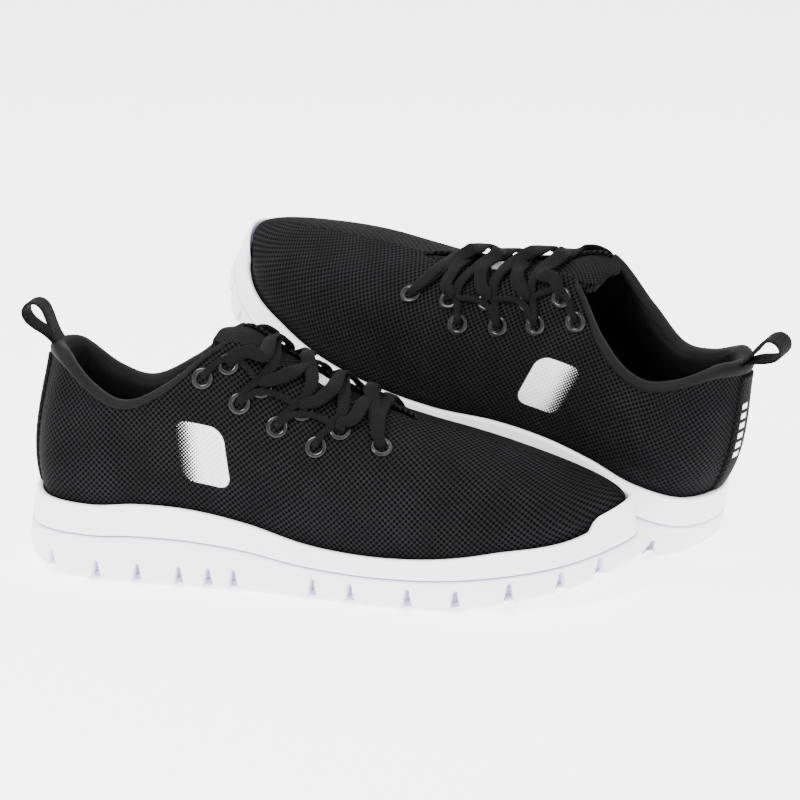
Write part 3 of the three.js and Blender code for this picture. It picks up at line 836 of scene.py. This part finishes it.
def side_strand(form, half, row):
    """Narrow lace from an outer eyelet forward to the inner eyelet one row nearer the toe."""
    outer, inner = OUTER_EYELETS[row - 1], INNER_EYELETS[row - 1]
    points, normals, widths = [], [], []
    for k, height in ((0.0, -2.0), (0.06, 2.2), (0.3, 2.2), (0.6, 1.5), (0.88, 1.6), (1.0, -1.6)):
        station = outer[0] + (inner[0] - outer[0]) * k
        share = outer[1] + (inner[1] - outer[1]) * k + 0.07 * math.sin(k * math.pi)
        points.append(form.wall(half * station, share, height))
        normals.append(form.normal(half * station, share))
        widths.append(3.0)
    label = "lateral" if half > 0 else "medial"
    return ribbon(f"{form.name}_lace_{label}_strand_{row}", form, points, normals, widths, 2.0,
                  MATERIALS["lace"])


def toe_bar(form):
    station, share = INNER_EYELETS[0]
    points, normals, widths = [], [], []
    for half, s, height, width in ((1, share, -2.2, 3.6), (1, share + 0.01, 1.4, 4.6),
                                   (1, share + 0.08, 2.6, 6.4), (1, 0.93, 2.4, 6.8),
                                   (-1, 0.93, 2.4, 6.8), (-1, share + 0.08, 2.6, 6.4),
                                   (-1, share + 0.01, 1.4, 4.6), (-1, share, -2.2, 3.6)):
        forward = 0.35 * smooth_step(share, 1.0, s)
        points.append(form.wall(half * (station + forward), s, height))
        normals.append(form.normal(half * (station + forward), s))
        widths.append(width)
    return ribbon(f"{form.name}_lace_toe_bar", form, points, normals, widths, 1.9, MATERIALS["lace"])


def make_lace(form):
    strands = [toe_bar(form)]
    for row in range(1, 5):
        strands.append(crossing(form, 1, row, over=row % 2 == 0))
        strands.append(crossing(form, -1, row, over=row % 2 == 1))
    for row in range(2, 5):
        strands += [side_strand(form, half, row) for half in (1, -1)]
    return strands


# ---- eyelets, strap and pull loop --------------------------------------------------------------
def make_eyelet(form, half, seat, name):
    """A rolled metal ring: domed flange outside, barrel through the knit."""
    profile = [(2.75, -2.6), (2.75, -0.5), (2.8, 0.6)]
    for angle in range(0, 181, 20):
        a = math.radians(180 - angle)
        profile.append((3.95 + 1.15 * math.cos(a), 0.55 + 0.75 * math.sin(a)))
    profile += [(5.0, 0.2), (3.5, 0.2), (3.45, -2.6)]
    centre = form.wall(half * seat[0], seat[1])
    out = Vector(form.normal(half * seat[0], seat[1]))
    turn = np.array(out.to_track_quat("Z", "Y").to_matrix())
    rings = []
    for angle in np.linspace(0, 2 * math.pi, 40, endpoint=False):
        ring = [(r * math.cos(angle), r * math.sin(angle), h) for r, h in profile]
        rings.append(np.array(ring) @ turn.T + centre)
    piece = loop_solid(f"{name}_ring", form, rings, MATERIALS["metal"])
    return finish_piece(piece, f"{form.name}_shoe", "eyelet_metal", name)


def make_strap(form):
    """Webbing sewn up the back of the heel, leaving the collar to become the pull loop."""
    reach = 0.29
    stations = np.linspace(-reach, reach, 21)
    shares = np.linspace(0.02, 0.93, 60)
    s, v = np.meshgrid(stations, shares)
    edge = 1 - np.abs(stations / reach) ** 12
    outer = form.wall(s, v, 0.5 + 1.3 * edge[None, :])
    inner = form.wall(s, v, 0.25)
    ring = np.concatenate([outer, inner[:, ::-1]], 1)
    across = np.concatenate([stations, stations[::-1]]) / reach * 7
    length = shares * 66
    uv = np.stack(np.meshgrid(across, length), -1)[..., ::-1]
    return loop_solid(f"{form.name}_heel_webbing", form, ring, MATERIALS["webbing"], uv=uv, wrap=False)


def strap_bars(form):
    """A row of plain white bars printed up the strap."""
    pieces = []
    for i in range(6):
        low = 0.30 + i * 0.075
        s, v = np.meshgrid(np.linspace(0.02, 0.19, 6), np.linspace(low, low + 0.042, 8))
        face = form.wall(s, v, 1.95)
        back = form.wall(s, v, 1.7)
        ring = np.concatenate([face, back[:, ::-1]], 1)
        pieces.append(loop_solid(f"{form.name}_strap_bar_{i + 1}", form, ring, MATERIALS["print"],
                                 marks=np.zeros(ring.shape[:2]), wrap=False))
    return pieces


def make_pull_loop(form):
    lean = math.radians(37)
    hinge = form.wall(0.0, 1.0, -1.0) + np.array([0, 0, 3.45])
    path = [(-0.7, -3.0), (-1.0, 0.5), (-1.9, 4.5), (-4.3, 10.5), (-5.1, 15.0), (-3.9, 18.6),
            (-0.3, 20.2), (3.3, 18.6), (4.7, 15.0), (3.9, 10.5), (1.9, 4.5), (1.0, 0.5), (0.7, -3.0)]
    line = open_spline(np.array(path), 8)
    tangent = np.gradient(line, axis=0)
    tangent /= np.linalg.norm(tangent, axis=1)[:, None]
    normal = np.stack([tangent[:, 1], -tangent[:, 0]], 1)
    widths = np.linspace(-7, 7, 15)
    run = np.concatenate([[0], np.cumsum(np.linalg.norm(np.diff(line, axis=0), axis=1))])
    rings, uv = [], []
    for p, n, u in zip(line, normal, run):
        edge = 1 - np.abs(widths / 7) ** 10
        outer = [(p + n * (0.25 + 0.45 * e), w) for w, e in zip(widths, edge)]
        inner = [(p - n * (0.25 + 0.45 * e), w) for w, e in zip(widths[::-1], edge[::-1])]
        ring = []
        for (a, b), w in outer + inner:
            x = a * math.cos(lean) - b * math.sin(lean)
            z = a * math.sin(lean) + b * math.cos(lean)
            ring.append((hinge[0] + x, hinge[1] + w, hinge[2] + z))
        rings.append(ring)
        uv.append([(u, w) for _, w in outer + inner])
    return loop_solid(f"{form.name}_webbing_loop", form, rings, MATERIALS["webbing"],
                      uv=np.array(uv), wrap=False)


# ---- assembly ----------------------------------------------------------------------------------
def hidden_nodes(name):
    """CAD pieces that stay as they are, with a material each."""
    for node, material in (("sockliner", "sockliner"), ("strobel_board", "board"),
                           ("heel_counter", "stiffener"), ("toe_puff", "stiffener")):
        piece = frame["nodes"][f"{name}_{node}"]
        piece.data.materials.clear()
        piece.data.materials.append(MATERIALS[material])


def make_shoe(name):
    form = Form(name)
    body = f"{name}_shoe"
    finish_piece(make_outsole(form), body, "outsole_rubber", f"{name}_outsole")
    finish_piece(make_midsole(form), body, "midsole_foam", f"{name}_midsole")
    finish_piece(make_upper(form), body, "mesh_fabric", f"{name}_upper")
    collar = finish_piece(make_collar(form), body, "lining_fabric", f"{name}_collar_lining")
    swell(collar, 0.8 * MM)
    tongue = finish_piece(make_tongue(form), f"{name}_tongue", "tongue_fabric", f"{name}_tongue")
    swell(tongue, 0.6 * MM)
    for strand in make_lace(form):
        finish_piece(strand, body, "lace_textile", f"{name}_lace")
    finish_piece(make_strap(form), body, "webbing", f"{name}_heel_strap")
    for bar in strap_bars(form):
        finish_piece(bar, body, "webbing", f"{name}_heel_strap")
    finish_piece(make_pull_loop(form), f"{name}_pull_loop", "webbing", f"{name}_pull_loop")
    for half, label in ((1, "lateral"), (-1, "medial")):
        for row, seats in (("inner", INNER_EYELETS), ("outer", OUTER_EYELETS)):
            for i, seat in enumerate(seats):
                make_eyelet(form, half, seat, f"{name}_{label}_eyelet_{row}_{i + 1}")
    hidden_nodes(name)


def make_stage():
    bpy.ops.mesh.primitive_plane_add(size=8, location=(0, 0, -0.0004))
    floor = bpy.context.object
    floor.name = "floor"
    nodes = Nodes("floor_white")
    nodes.put(nodes.shader.inputs["Base Color"], nodes.mix(nodes.noise(3.0), grey(0.93), grey(0.95)))
    nodes.set(Roughness=0.9, Emission_Color=(1, 1, 1, 1), Emission_Strength=2.2)
    floor.data.materials.append(nodes.material)
    world = bpy.data.worlds.new("studio")
    world.use_nodes = True
    world.node_tree.nodes["Background"].inputs[0].default_value = (1, 1, 1, 1)
    world.node_tree.nodes["Background"].inputs[1].default_value = 2.3
    bpy.context.scene.world = world


def add_light(name, location, aim, size, power):
    data = bpy.data.lights.new(name, "AREA")
    data.shape = "RECTANGLE"
    data.size, data.size_y = size
    data.energy = power
    light = bpy.data.objects.new(name, data)
    light.location = location
    light.rotation_euler = (Vector(location) - Vector(aim)).to_track_quat("Z", "Y").to_euler()
    bpy.context.collection.objects.link(light)


make_camera()
for shoe_name in SIDES:
    make_shoe(shoe_name)
make_stage()
AIM = (0.04, 0.04, 0.05)
add_light("key", (-0.7, -0.9, 1.3), AIM, (0.7, 0.5), 34)
add_light("fill", (1.1, -0.7, 0.7), AIM, (1.0, 1.0), 9)
add_light("top", (0.1, 0.3, 1.6), AIM, (1.6, 1.2), 16)
